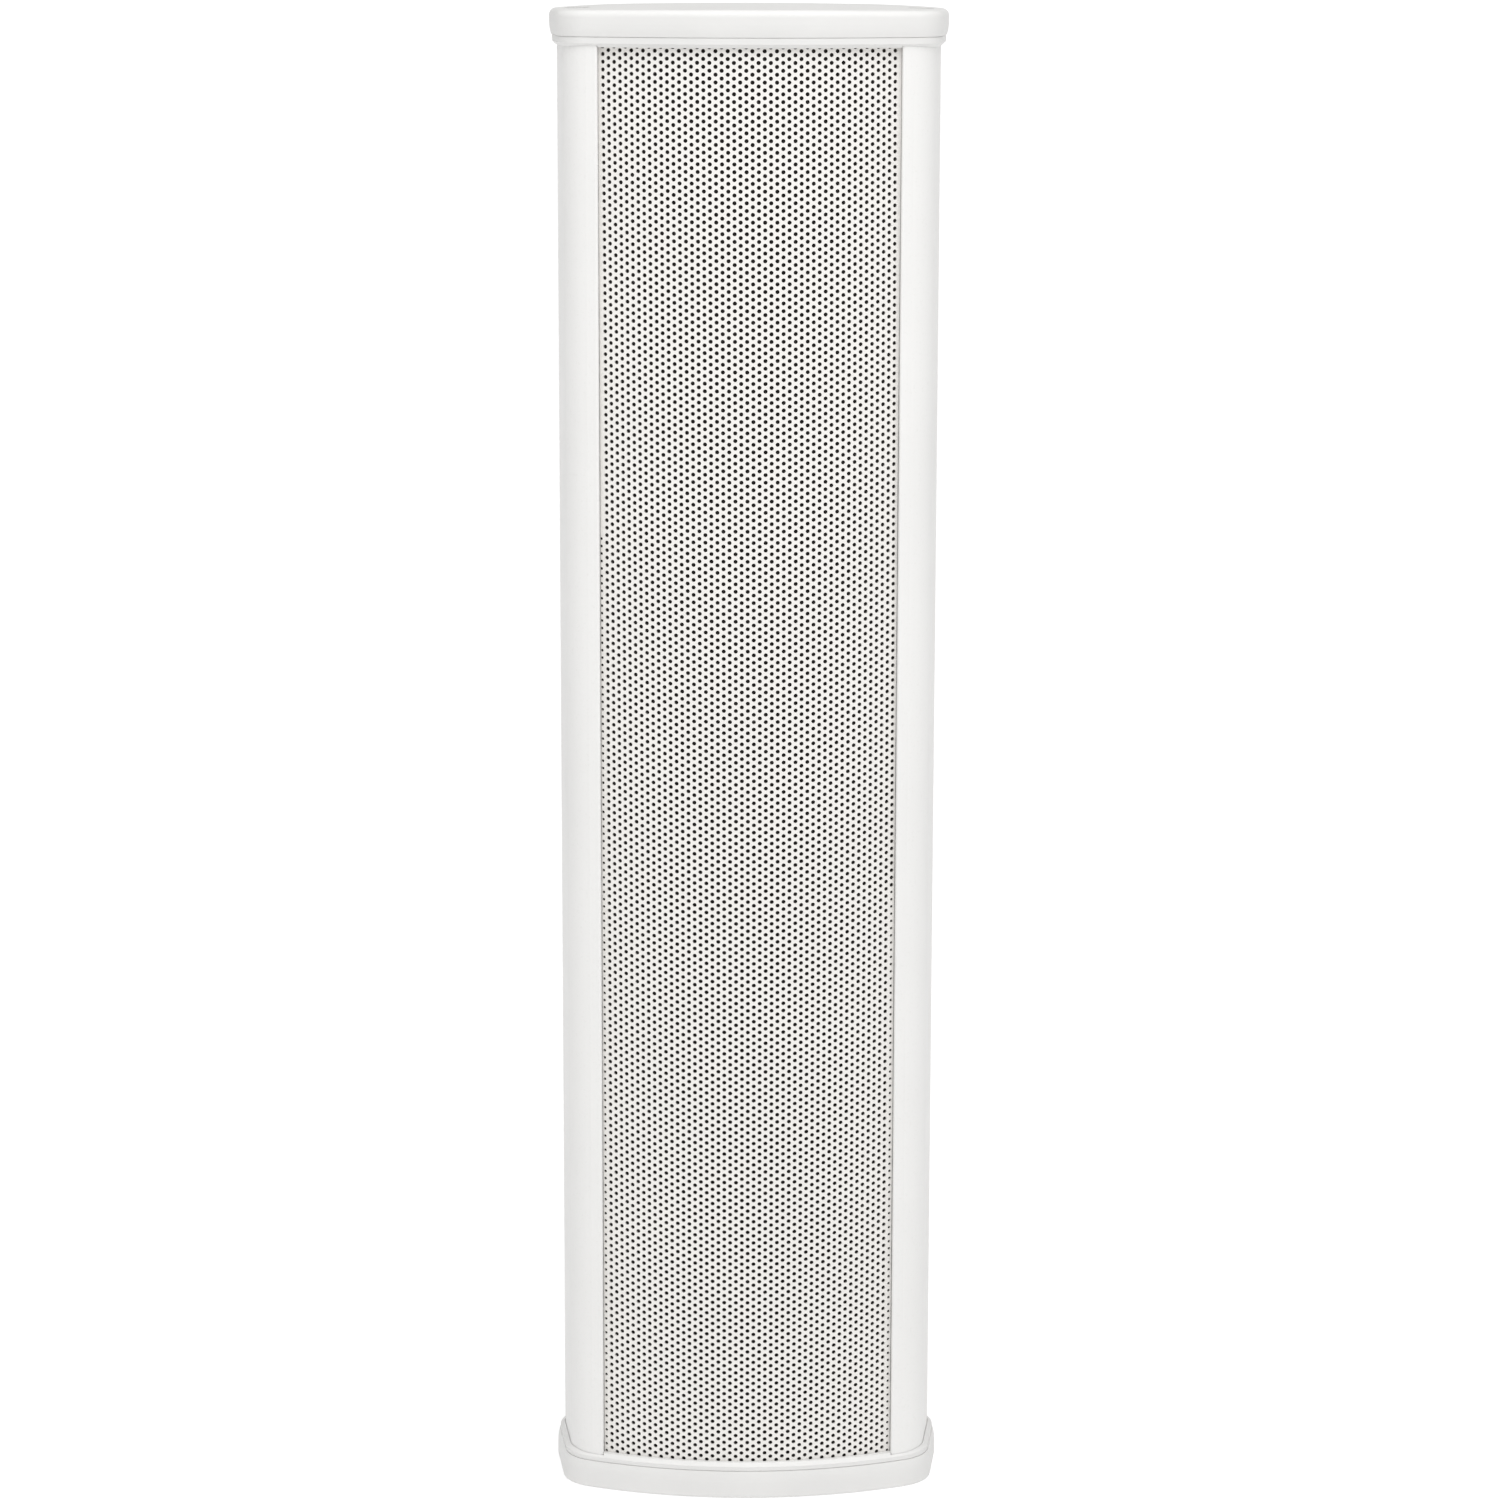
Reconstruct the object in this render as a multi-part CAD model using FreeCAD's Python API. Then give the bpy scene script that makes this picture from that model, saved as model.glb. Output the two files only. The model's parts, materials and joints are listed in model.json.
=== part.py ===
import FreeCAD, Part

import math
import os

from FreeCAD import Vector

# Column loudspeaker: an aluminium extrusion with a curved grille, moulded end caps, four small
# drivers behind the grille, a line transformer, and a tilting, swivelling wall bracket at the back.
# Millimetres. The origin is the centre of the base, +Z is up and the grille faces -Y.

# ---------------------------------------------------------------- driving dimensions
HEIGHT = 504.4
CAP_DEPTH = 104.0
FRONT_PLANE_Y = -CAP_DEPTH / 2 + 3.5      # front of the grille at its middle; depths are given from here

BAND_HEIGHT = 9.4                         # thick band of an end cap
UPPER_COLLAR_HEIGHT = 3.4                 # thin collars between the bands and the open body
LOWER_COLLAR_HEIGHT = 2.8
GASKET_THICKNESS = 0.8
CROWN_RISE = 0.8                          # how far the top's middle stands above its rim
CROWN_REACH = 62.0
TOP_ROUNDING = 2.4
BASE_ROUNDING = 0.8
CAP_FOOT = ((0.0, -0.65), (1.3, -0.3), (2.7, -0.08), (4.0, 0.0))  # (height, growth) up a band's foot
COLLAR_CHAMFER = 1.2
COLLAR_SHOULDER = 0.25
COLLAR_SLACK = 0.12                       # room between a collar and what it hugs

GRILLE_RADIUS = 123.4
GRILLE_THICKNESS = 0.6
GRILLE_HALF_WIDTH = 53.2
CLOTH_GAP = 0.05
CLOTH_THICKNESS = 1.0
OPENING_HALF_WIDTH = 49.5

WALL = 2.0
HEAD_BACK = 15.6                          # back of the thick front corners of the extrusion
GROOVE_SLACK = 0.2                        # room around the sheet in its grooves

BAFFLE_THICKNESS = 4.0
BAFFLE_HALF_WIDTH = 57.2

DRIVER_COUNT = 4
DRIVER_PITCH = 114.0
FLANGE_RADIUS = 49.0
CUTOUT_RADIUS = 44.2

AXIS_HEIGHT = HEIGHT / 2                  # height of the bracket's tilt axis
TILT_AXIS_DEPTH = 118.0
SWIVEL_AXIS_DEPTH = 148.0
WALL_PLANE_DEPTH = 168.0

# Plans of the body, its collars and its caps, as seen from above. "wide" is where the sides are
# furthest apart, and the sides narrow from there to the back.
CAP_PLAN = dict(front=-3.5, radius=137.0, flare=7.0, wide_x=66.85, wide=45.0, back_x=44.0, back=100.5,
                corner=15.0, belly=20.0, rear=10.0)
COLLAR_PLAN = dict(front=-2.7, radius=136.0, flare=7.0, wide_x=65.9, wide=45.0, back_x=43.4, back=99.6,
                   corner=14.0, belly=19.0, rear=9.5)
BODY_PLAN = dict(front=-1.9, radius=135.0, flare=7.0, wide_x=64.25, wide=45.0, back_x=42.5, back=98.3,
                 corner=13.0, belly=18.0, rear=9.0)

# ---------------------------------------------------------------- dimensions worked out from those
BAND_LOW = HEIGHT - BAND_HEIGHT           # underside of the upper band
EXTRUSION_LOW = BAND_HEIGHT + GASKET_THICKNESS
EXTRUSION_HIGH = HEIGHT - EXTRUSION_LOW
SHEET_LOW = EXTRUSION_LOW + 0.4
SHEET_HIGH = EXTRUSION_HIGH - 0.4

BACK = BODY_PLAN["back"]
REAR_WALL = BACK - WALL                   # inner face of the rear wall
BAFFLE_BACK = HEAD_BACK + BAFFLE_THICKNESS
DRIVER_HEIGHTS = [AXIS_HEIGHT + (n - (DRIVER_COUNT - 1) / 2) * DRIVER_PITCH for n in range(DRIVER_COUNT)]

# Cap screws go into four channels that run the whole length of the extrusion.
CHANNEL_RADIUS = 4.2
CHANNEL_BORE = 2.1
CHANNEL_PLACES = [(-56.8, 34.0), (56.8, 34.0), (-36.0, 92.6), (36.0, 92.6)]

BRACKET_BOLT_RISE = 22.0                  # bolts above and below the tilt axis
TRANSFORMER_HEIGHT = 345.0
TRANSFORMER_SCREW_RISE = 31.0
BLOCK_HEIGHT = 140.0
GLAND_HEIGHT = 45.0

X = Vector(1, 0, 0)
Y = Vector(0, 1, 0)
Z = Vector(0, 0, 1)


# ---------------------------------------------------------------- helpers
def y_of(depth):
    """Row coordinate of a depth that is measured back from the middle of the grille."""
    return FRONT_PLANE_Y + depth


def at(x, depth, z):
    return Vector(x, y_of(depth), z)


def block(x_low, x_high, depth_low, depth_high, z_low, z_high):
    corner = at(x_low, depth_low, z_low)
    return Part.makeBox(x_high - x_low, depth_high - depth_low, z_high - z_low, corner)


def rod(radius, x, depth, z, length, direction):
    return Part.makeCylinder(radius, length, at(x, depth, z), direction)


def ring(outer, inner, x, depth, z, length, direction):
    start = at(x, depth, z)
    hollow = Part.makeCylinder(inner, length + 2, start - direction, direction)
    return Part.makeCylinder(outer, length, start, direction).cut(hollow)


def hexagon(across_flats, x, depth, z, length, direction):
    radius = across_flats / math.sqrt(3)
    side = Y if abs(direction.y) < 0.5 else Z
    centre = at(x, depth, z)
    corners = []
    for step in range(7):
        turn = FreeCAD.Rotation(direction, 60.0 * step)
        corners.append(centre + turn.multVec(side * radius))
    return Part.Face(Part.makePolygon(corners)).extrude(direction * length)


def turned(profile, x, z):
    """Solid turned about an axis along Y; profile is a list of (radius, depth) corners."""
    corners = [Vector(x + radius, y_of(depth), z) for radius, depth in profile]
    face = Part.Face(Part.makePolygon(corners + corners[:1]))
    return face.revolve(Vector(x, 0, z), Y, 360)


def upright_edges(solid, test):
    """Edges that run straight up and whose (|x|, y) passes the test."""
    found = []
    for edge in solid.Edges:
        low, high = edge.BoundBox.ZMin, edge.BoundBox.ZMax
        straight = edge.BoundBox.XLength + edge.BoundBox.YLength < 0.01
        if straight and high - low > 0.5 and test(abs(edge.BoundBox.XMin), edge.BoundBox.YMin):
            found.append(edge)
    return found


def plan_prism(plan, z_low, z_high, grow=0.0):
    """Prism with an arched front, sides that flare to the widest place, and a narrower flat back."""
    ahead = -40.0
    wide_x = plan["wide_x"] + grow
    back_x = plan["back_x"] + grow
    back_y = y_of(plan["back"] + grow)
    wide_y = y_of(plan["wide"])
    narrowing = math.tan(math.radians(plan["flare"])) * (plan["wide"] - ahead)
    half = [(wide_x - narrowing, y_of(ahead)), (wide_x, wide_y), (back_x, back_y)]
    corners = [Vector(x, y, z_low) for x, y in half]
    corners += [Vector(-x, y, z_low) for x, y in reversed(half)]
    height = z_high - z_low
    prism = Part.Face(Part.makePolygon(corners + corners[:1])).extrude(Z * height)
    radius = plan["radius"] + grow
    middle = Vector(0, y_of(plan["front"] + plan["radius"]), z_low)
    prism = prism.common(Part.makeCylinder(radius, height, middle))
    front_edges = upright_edges(prism, lambda x, y: y < y_of(20.0))
    prism = prism.makeFillet(plan["corner"] + grow, front_edges)
    belly_edges = upright_edges(prism, lambda x, y: abs(x - wide_x) < 0.05 and abs(y - wide_y) < 0.05)
    prism = prism.makeFillet(plan["belly"] + grow, belly_edges)
    rear_edges = upright_edges(prism, lambda x, y: abs(x - back_x) < 0.05 and abs(y - back_y) < 0.05)
    return prism.makeFillet(plan["rear"] + grow, rear_edges)


def grille_sheet(outer_radius, thickness, half_width, z_low, z_high):
    """Upright sheet bent about the grille's own centre line."""
    height = z_high - z_low
    middle = at(0, GRILLE_RADIUS, z_low)
    outside = Part.makeCylinder(outer_radius, height, middle)
    inside = Part.makeCylinder(outer_radius - thickness, height, middle)
    window = block(-half_width, half_width, -20, 40, z_low, z_high)
    return outside.cut(inside).common(window)


def level_edges(solid, z):
    """Edges that lie in the plane at height z."""
    found = []
    for edge in solid.Edges:
        if abs(edge.BoundBox.ZMin - z) < 0.01 and abs(edge.BoundBox.ZMax - z) < 0.01:
            found.append(edge)
    return found


def pan_head_screw(x, depth, z, direction, head_radius, head_height, shank_radius, length):
    """Screw whose head starts at the point given and whose shank runs on along the direction."""
    head = rod(head_radius, x, depth, z, head_height, direction)
    rim = [edge for edge in head.Edges if edge.BoundBox.Center.sub(at(x, depth, z)).Length < 0.01]
    rim = [edge for edge in rim if edge.Length > head_radius]
    head = head.makeFillet(head_height * 0.45, rim)
    start = at(x, depth, z)
    shank = Part.makeCylinder(shank_radius, length + head_height, start, direction)
    across = X if abs(direction.x) < 0.5 else Y
    other = direction.cross(across)
    slot = head_radius * 1.1
    screw = head.fuse(shank)
    for one, two in ((across, other), (other, across)):
        corner = start - one * (slot / 2) - two * (head_radius * 0.13)
        corners = [corner, corner + one * slot, corner + one * slot + two * (head_radius * 0.26),
                   corner + two * (head_radius * 0.26)]
        face = Part.Face(Part.makePolygon(corners + corners[:1]))
        screw = screw.cut(face.extrude(direction * (head_height * 0.6)))
    return screw.removeSplitter()


def hex_bolt(x, depth, z, direction, head_flats, head_height, radius, length):
    """Bolt whose head ends at the point given; the shank runs on along the direction."""
    start = at(x, depth, z)
    head = hexagon(head_flats, x, depth, z, head_height, direction * -1)
    shank = Part.makeCylinder(radius, length + 1, start - direction, direction)
    return head.fuse(shank).removeSplitter()


def hex_nut(x, depth, z, direction, flats, height, bore):
    nut = hexagon(flats, x, depth, z, height, direction)
    return nut.cut(Part.makeCylinder(bore, height + 2, at(x, depth, z) - direction, direction))


def rounded_path(points, radius):
    """Straight runs through the points, joined by tangent arcs."""
    edges = []
    start = points[0]
    for before, corner, after in zip(points, points[1:], points[2:]):
        arriving = (corner - before).normalize()
        leaving = (after - corner).normalize()
        half_turn = arriving.getAngle(leaving) / 2
        setback = radius * math.tan(half_turn)
        first = corner - arriving * setback
        last = corner + leaving * setback
        inward = (leaving - arriving).normalize()
        middle = corner + inward * (radius / math.cos(half_turn) - radius)
        edges.append(Part.LineSegment(start, first).toShape())
        edges.append(Part.Arc(first, middle, last).toShape())
        start = last
    edges.append(Part.LineSegment(start, points[-1]).toShape())
    return Part.Wire(edges)


def lead(points, radius, bend):
    path = rounded_path(points, bend)
    direction = (points[1] - points[0]).normalize()
    circle = Part.Wire(Part.makeCircle(radius, points[0], direction))
    return path.makePipeShell([circle], True, False)


# ---------------------------------------------------------------- cabinet
def cabinet_extrusion():
    """Hollow section: front corners with grille grooves, baffle ribs and four screw channels."""
    low, high = EXTRUSION_LOW, EXTRUSION_HIGH
    body = plan_prism(BODY_PLAN, low, high)
    behind_heads = block(-80, 80, HEAD_BACK, BACK, low, high)
    cavity = plan_prism(BODY_PLAN, low, high, -WALL).common(behind_heads)
    body = body.cut(cavity)
    body = body.cut(block(-OPENING_HALF_WIDTH, OPENING_HALF_WIDTH, -20, HEAD_BACK + 1, low, high))
    lips = upright_edges(body, lambda x, y: abs(x - OPENING_HALF_WIDTH) < 0.05 and y < y_of(9.0))
    body = body.makeFillet(0.7, lips)
    groove = grille_sheet(GRILLE_RADIUS + GROOVE_SLACK, GRILLE_THICKNESS + 2 * GROOVE_SLACK,
                          GRILLE_HALF_WIDTH + GROOVE_SLACK, low, high)
    body = body.cut(groove)
    additions = []
    for side in (-1, 1):
        edges_x = sorted((side * 54.0, side * 62.0))
        additions.append(block(*edges_x, BAFFLE_BACK + 0.2, BAFFLE_BACK + 1.8, low, high))
    for x, depth in CHANNEL_PLACES:
        additions.append(rod(CHANNEL_RADIUS, x, depth, low, high - low, Z))
    outline = plan_prism(BODY_PLAN, low, high, -WALL / 2)
    for addition in additions:
        body = body.fuse(addition.common(outline))
    for x, depth in CHANNEL_PLACES:
        body = body.cut(rod(CHANNEL_BORE, x, depth, low - 1, high - low + 2, Z))
    for x in (-24.0, -21.0, 21.0, 24.0):
        body = body.cut(block(x - 0.5, x + 0.5, BACK - 0.5, BACK + 1, low, high))
    for rise in (-BRACKET_BOLT_RISE, BRACKET_BOLT_RISE):
        body = body.cut(rod(4.6, 0, BACK - 4, AXIS_HEIGHT + rise, 8, Y))
    for rise in (-TRANSFORMER_SCREW_RISE, TRANSFORMER_SCREW_RISE):
        body = body.cut(rod(1.6, 0, BACK - 4, TRANSFORMER_HEIGHT + rise, 8, Y))
    body = body.cut(rod(8.1, 0, BACK - 4, GLAND_HEIGHT, 8, Y))
    return body.removeSplitter()


def end_cap(crowned):
    """Cap as it sits on top: a thick band, a flat or slightly crowned lid and four screw wells."""
    low = BAND_LOW
    sections = []
    for height, growth in CAP_FOOT:
        thin = plan_prism(CAP_PLAN, low + height, low + height + 1, growth)
        sections.append(Part.Wire(Part.__sortEdges__(level_edges(thin, low + height))))
    foot = Part.makeLoft(sections, True, False)
    cap = plan_prism(CAP_PLAN, low + CAP_FOOT[-1][0], HEIGHT).fuse(foot)
    if crowned:
        ball = (CROWN_REACH ** 2 + CROWN_RISE ** 2) / (2 * CROWN_RISE)
        cap = cap.common(Part.makeSphere(ball, Vector(0, 0, HEIGHT - ball)))
    outer = [edge for edge in cap.Edges if edge.BoundBox.ZMin > HEIGHT - 1.5 and not edge.isClosed()]
    cap = cap.makeFillet(TOP_ROUNDING if crowned else BASE_ROUNDING, outer)
    pocket = plan_prism(CAP_PLAN, low, HEIGHT - 4.0, -7.0)
    for x, depth in CHANNEL_PLACES:
        pocket = pocket.cut(rod(6.5, x, depth, low, HEIGHT, Z))
    cap = cap.cut(pocket)
    for x, depth in CHANNEL_PLACES:
        cap = cap.cut(rod(2.4, x, depth, low - 1, 20, Z))
        cap = cap.cut(rod(4.4, x, depth, HEIGHT - 3.6, 10, Z))
    return cap


def collar(height):
    """Ring under the cap as it sits on top; it hugs the body's sides and the front of the grille."""
    low = BAND_LOW - height
    outside = plan_prism(COLLAR_PLAN, low, BAND_LOW)
    outside = outside.makeChamfer(COLLAR_CHAMFER, level_edges(outside, low))
    outside = outside.makeChamfer(COLLAR_SHOULDER, level_edges(outside, BAND_LOW))
    held = plan_prism(BODY_PLAN, low - 1, BAND_LOW + 1, COLLAR_SLACK)
    front = block(-OPENING_HALF_WIDTH, OPENING_HALF_WIDTH, -20, 20, low - 1, BAND_LOW + 1)
    middle = at(0, GRILLE_RADIUS, low - 1)
    behind_grille = Part.makeCylinder(GRILLE_RADIUS + COLLAR_SLACK, height + 2, middle)
    held = held.cut(front.cut(behind_grille))
    return outside.cut(held)


def mirrored_below(solid):
    """The same piece at the other end of the cabinet."""
    return solid.mirror(Vector(0, 0, AXIS_HEIGHT), Z)


def end_gasket():
    """Thin strip round the sides and back of the extrusion's end."""
    strip = plan_prism(BODY_PLAN, EXTRUSION_HIGH, BAND_LOW, -0.3)
    strip = strip.cut(plan_prism(BODY_PLAN, EXTRUSION_HIGH, BAND_LOW, -1.9))
    front = block(-OPENING_HALF_WIDTH, OPENING_HALF_WIDTH, -20, 20, EXTRUSION_HIGH, BAND_LOW)
    return strip.cut(front)


def cap_screw(x, depth):
    return pan_head_screw(x, depth, HEIGHT - 0.9, Z * -1, 4.0, 2.6, 2.0, 22.0)


def make_cabinet():
    upper_gasket = end_gasket()
    upper_screws = [cap_screw(x, depth) for x, depth in CHANNEL_PLACES]
    return {
        "cabinet_extrusion": cabinet_extrusion(),
        "grille": grille_sheet(GRILLE_RADIUS, GRILLE_THICKNESS, GRILLE_HALF_WIDTH, SHEET_LOW, SHEET_HIGH),
        "acoustic_cloth": grille_sheet(GRILLE_RADIUS - GRILLE_THICKNESS - CLOTH_GAP, CLOTH_THICKNESS,
                                       OPENING_HALF_WIDTH - 0.5, SHEET_LOW, SHEET_HIGH),
        "top_cap": end_cap(crowned=True),
        "bottom_cap": mirrored_below(end_cap(crowned=False)),
        "top_collar": collar(UPPER_COLLAR_HEIGHT),
        "bottom_collar": mirrored_below(collar(LOWER_COLLAR_HEIGHT)),
        "end_gaskets": [upper_gasket, mirrored_below(upper_gasket)],
        "cap_screws": upper_screws + [mirrored_below(screw) for screw in upper_screws],
    }


# ---------------------------------------------------------------- drivers
FLANGE_FRONT = HEAD_BACK - 2.0
SCREW_CIRCLE = 46.8
SCREW_ANGLES = (45, 135, 225, 315)
ROLL_OUTSIDE = 40.6                       # outer edge of the surround's half roll
CONE_RADIUS = 37.0
PLATE_DEPTH = 40.0                        # front of the magnet's top plate
POLE_RADIUS = 12.0


def around(z, radius, angle):
    turn = math.radians(angle)
    return radius * math.cos(turn), z + radius * math.sin(turn)


def baffle():
    board = block(-BAFFLE_HALF_WIDTH, BAFFLE_HALF_WIDTH, HEAD_BACK + 0.05, BAFFLE_BACK,
                  SHEET_LOW, SHEET_HIGH)
    for height in DRIVER_HEIGHTS:
        board = board.cut(rod(CUTOUT_RADIUS + 0.4, 0, HEAD_BACK - 1, height, BAFFLE_THICKNESS + 2, Y))
        for angle in SCREW_ANGLES:
            x, z = around(height, SCREW_CIRCLE, angle)
            board = board.cut(rod(1.5, x, HEAD_BACK - 1, z, BAFFLE_THICKNESS + 2, Y))
    return board


def basket(height):
    """Pressed steel frame: a flange, six ribs between windows, a landing for the spider, a foot."""
    frame = turned([(FLANGE_RADIUS, FLANGE_FRONT), (FLANGE_RADIUS, FLANGE_FRONT + 1.2),
                    (CUTOUT_RADIUS, FLANGE_FRONT + 1.2), (CUTOUT_RADIUS - 2, 21.0), (31.0, 34.0),
                    (29.0, PLATE_DEPTH), (15.0, PLATE_DEPTH), (15.0, PLATE_DEPTH - 1.2),
                    (27.6, PLATE_DEPTH - 1.2), (28.0, 34.0), (24.6, 34.0), (24.6, 32.8),
                    (29.8, 32.8), (ROLL_OUTSIDE, 20.4), (ROLL_OUTSIDE + 0.8, FLANGE_FRONT)],
                   0, height)
    for step in range(6):
        window = block(27.0, 60.0, 22.5, 31.0, -9.0, 9.0)
        window.rotate(at(0, 0, 0), Y, 30.0 + 60.0 * step)
        window.translate(Z * height)
        frame = frame.cut(window)
    for angle in SCREW_ANGLES:
        x, z = around(height, SCREW_CIRCLE, angle)
        frame = frame.cut(rod(1.6, x, FLANGE_FRONT - 2, z, 4, Y))
    tag = block(36.5, 53.0, 22.6, 23.4, height - 4, height + 4)
    arm = block(36.5, 41.0, 19.9, 23.4, height - 4, height + 4)
    bucket = turned([(0, 18.0), (ROLL_OUTSIDE, 18.0), (ROLL_OUTSIDE, 20.4), (30, 32.8), (0, 32.8)], 0, height)
    return frame.fuse(tag.fuse(arm).cut(bucket)).removeSplitter()


def surround(height):
    """Rubber half roll between the cone's rim and the flange."""
    middle, bead, skin = ROLL_OUTSIDE - 2.0, 2.0, 0.5
    seat = FLANGE_FRONT - 0.8
    roll = Part.makeTorus(middle, bead, at(0, seat, height), Y, -180, 180, 360)
    roll = roll.cut(Part.makeTorus(middle, bead - skin, at(0, seat, height), Y, -180, 180, 360))
    roll = roll.cut(rod(60, 0, seat, height, 20, Y))
    outer = ring(ROLL_OUTSIDE + 3.0, ROLL_OUTSIDE - 0.4, 0, seat - 0.05, height, skin + 0.05, Y)
    inner = ring(CONE_RADIUS, CONE_RADIUS - 2.4, 0, seat - 0.05, height, skin + 0.05, Y)
    return roll.fuse(outer).fuse(inner).removeSplitter()


def cone(height):
    """Paper cone: a thin curved shell from the voice coil former out to the surround."""
    rim, neck = FLANGE_FRONT - 0.25, 29.6
    return turned([(CONE_RADIUS, rim), (CONE_RADIUS - 2.2, rim), (24.0, 20.4), (13.7, neck), (13.7, neck + 1.2),
                   (14.6, neck + 0.8), (25.0, 20.6), (CONE_RADIUS - 1.4, rim + 0.6), (CONE_RADIUS, rim + 0.6)],
                  0, height)


def dust_cap(height):
    """Dome glued over the cone's neck."""
    rise, radius, seat = 5.0, 16.0, 27.0
    ball = (radius ** 2 + rise ** 2) / (2 * rise)
    centre = seat - rise + ball
    dome = Part.makeSphere(ball, at(0, centre, height))
    dome = dome.cut(Part.makeSphere(ball - 0.5, at(0, centre, height)))
    return dome.common(rod(radius, 0, seat - rise - 1, height, rise + 1, Y))


def voice_coil(height):
    """Former tube with its winding in the magnet's gap."""
    former = ring(13.2, 12.7, 0, 29.8, height, 14.6, Y)
    return former.fuse(ring(13.6, 13.1, 0, 38.6, height, 5.6, Y)).removeSplitter()


def spider(height):
    """Corrugated cloth disc that centres the former."""
    inner, waved, outer, waves = 13.35, 24.0, 27.4, 3
    front = [(outer, 32.2)]
    steps = 4 * waves
    for step in range(steps + 1):
        radius = waved + (inner - waved) * step / steps
        front.append((radius, 32.2 + 0.7 * math.sin(2 * math.pi * waves * step / steps)))
    back = [(radius, depth + 0.5) for radius, depth in reversed(front)]
    return turned(front + back, 0, height)


def magnet(height):
    return ring(31.0, 17.0, 0, PLATE_DEPTH + 4.0, height, 10.0, Y)


def motor_plates(height):
    """Top plate, and the yoke with its pole."""
    top_plate = ring(28.5, 14.0, 0, PLATE_DEPTH, height, 4.0, Y)
    yoke = rod(28.5, 0, PLATE_DEPTH + 14.0, height, 4.0, Y)
    pole = rod(POLE_RADIUS, 0, PLATE_DEPTH + 0.5, height, 14.0, Y)
    yoke = yoke.fuse(pole).cut(rod(4.0, 0, PLATE_DEPTH, height, 30.0, Y))
    return [top_plate, yoke.removeSplitter()]


def driver_gasket(height):
    """Foam ring between the flange and the baffle."""
    gasket = ring(FLANGE_RADIUS - 0.4, CUTOUT_RADIUS + 0.6, 0, FLANGE_FRONT + 1.25, height, 0.75, Y)
    for x, z in screw_places(height):
        gasket = gasket.cut(rod(1.6, x, 0, z, 30, Y))
    return gasket


def screw_places(height):
    return [around(height, SCREW_CIRCLE, angle) for angle in SCREW_ANGLES]


def driver_screws(height):
    return [pan_head_screw(x, FLANGE_FRONT - 1.5, z, Y, 2.8, 1.5, 1.4, 5.6) for x, z in screw_places(height)]


def make_drivers():
    nodes = {"baffle": baffle(), "driver_gaskets": [], "driver_screws": [], "magnets": [], "motor_plates": []}
    for number, height in enumerate(DRIVER_HEIGHTS, start=1):
        nodes[f"basket_{number}"] = basket(height)
        nodes[f"surround_{number}"] = surround(height)
        nodes[f"spider_{number}"] = spider(height)
        nodes[f"cone_{number}"] = cone(height)
        nodes[f"dust_cap_{number}"] = dust_cap(height)
        nodes[f"voice_coil_{number}"] = voice_coil(height)
        nodes["driver_gaskets"].append(driver_gasket(height))
        nodes["driver_screws"] += driver_screws(height)
        nodes["magnets"].append(magnet(height))
        nodes["motor_plates"] += motor_plates(height)
    return nodes


# ---------------------------------------------------------------- line transformer and wiring
CORE_DEPTH = REAR_WALL - 16.5             # middle of the core
CORE_STACK = 9.0
COIL_REACH = 15.0
LEAD_SPACING = 2.4


def transformer_core():
    z = TRANSFORMER_HEIGHT
    core = block(-20, 20, CORE_DEPTH - CORE_STACK, CORE_DEPTH + CORE_STACK, z - 24, z + 24)
    for side in (-1, 1):
        z_low, z_high = sorted((z + side * 8.0, z + side * 16.0))
        core = core.cut(block(-12, 12, CORE_DEPTH - 20, CORE_DEPTH + 20, z_low, z_high))
    return core


def transformer_winding():
    z = TRANSFORMER_HEIGHT
    coil = block(-11.7, 11.7, CORE_DEPTH - COIL_REACH, CORE_DEPTH + COIL_REACH, z - 15.7, z + 15.7)
    along = [edge for edge in coil.Edges if edge.BoundBox.XLength > 20]
    coil = coil.makeFillet(4.0, along)
    return coil.cut(block(-20, 20, CORE_DEPTH - CORE_STACK - 0.2, CORE_DEPTH + CORE_STACK + 0.2, z - 8.2, z + 8.2))


def transformer_frame():
    """Folded steel strap over the core, with a foot at each end."""
    z, gauge, reach = TRANSFORMER_HEIGHT, 1.2, 24.2
    front = CORE_DEPTH - CORE_STACK - 0.1 - gauge
    strap = block(-17, 17, front, front + gauge, z - reach - gauge, z + reach + gauge)
    strap = strap.cut(block(-12.2, 12.2, front - 1, front + gauge + 1, z - 16.2, z + 16.2))
    for side in (-1, 1):
        leg = sorted((z + side * reach, z + side * (reach + gauge)))
        foot = sorted((z + side * reach, z + side * 37.0))
        strap = strap.fuse(block(-17, 17, front, REAR_WALL - 0.05, *leg))
        strap = strap.fuse(block(-8, 8, REAR_WALL - 0.05 - gauge, REAR_WALL - 0.05, *foot))
    for rise in (-TRANSFORMER_SCREW_RISE, TRANSFORMER_SCREW_RISE):
        strap = strap.cut(rod(1.55, 0, REAR_WALL - 5, z + rise, 8, Y))
    return strap.removeSplitter()


def transformer_screws():
    screws = []
    for rise in (-TRANSFORMER_SCREW_RISE, TRANSFORMER_SCREW_RISE):
        z = TRANSFORMER_HEIGHT + rise
        screws.append(pan_head_screw(0, BACK + 2.0, z, Y * -1, 3.0, 1.9, 1.5, 6.0))
    return screws


def terminal_block():
    z = BLOCK_HEIGHT
    body = block(-8, 8, REAR_WALL - 12, REAR_WALL - 0.05, z - 12, z + 12)
    for step in range(DRIVER_COUNT):
        body = body.cut(rod(1.8, -3.5, REAR_WALL - 13, z - 9 + 6 * step, 6, Y))
    for step in range(DRIVER_COUNT - 1):
        body = body.cut(block(-9, 0, REAR_WALL - 13, REAR_WALL - 8, z - 6.4 + 6 * step, z - 5.6 + 6 * step))
    return body


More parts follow.
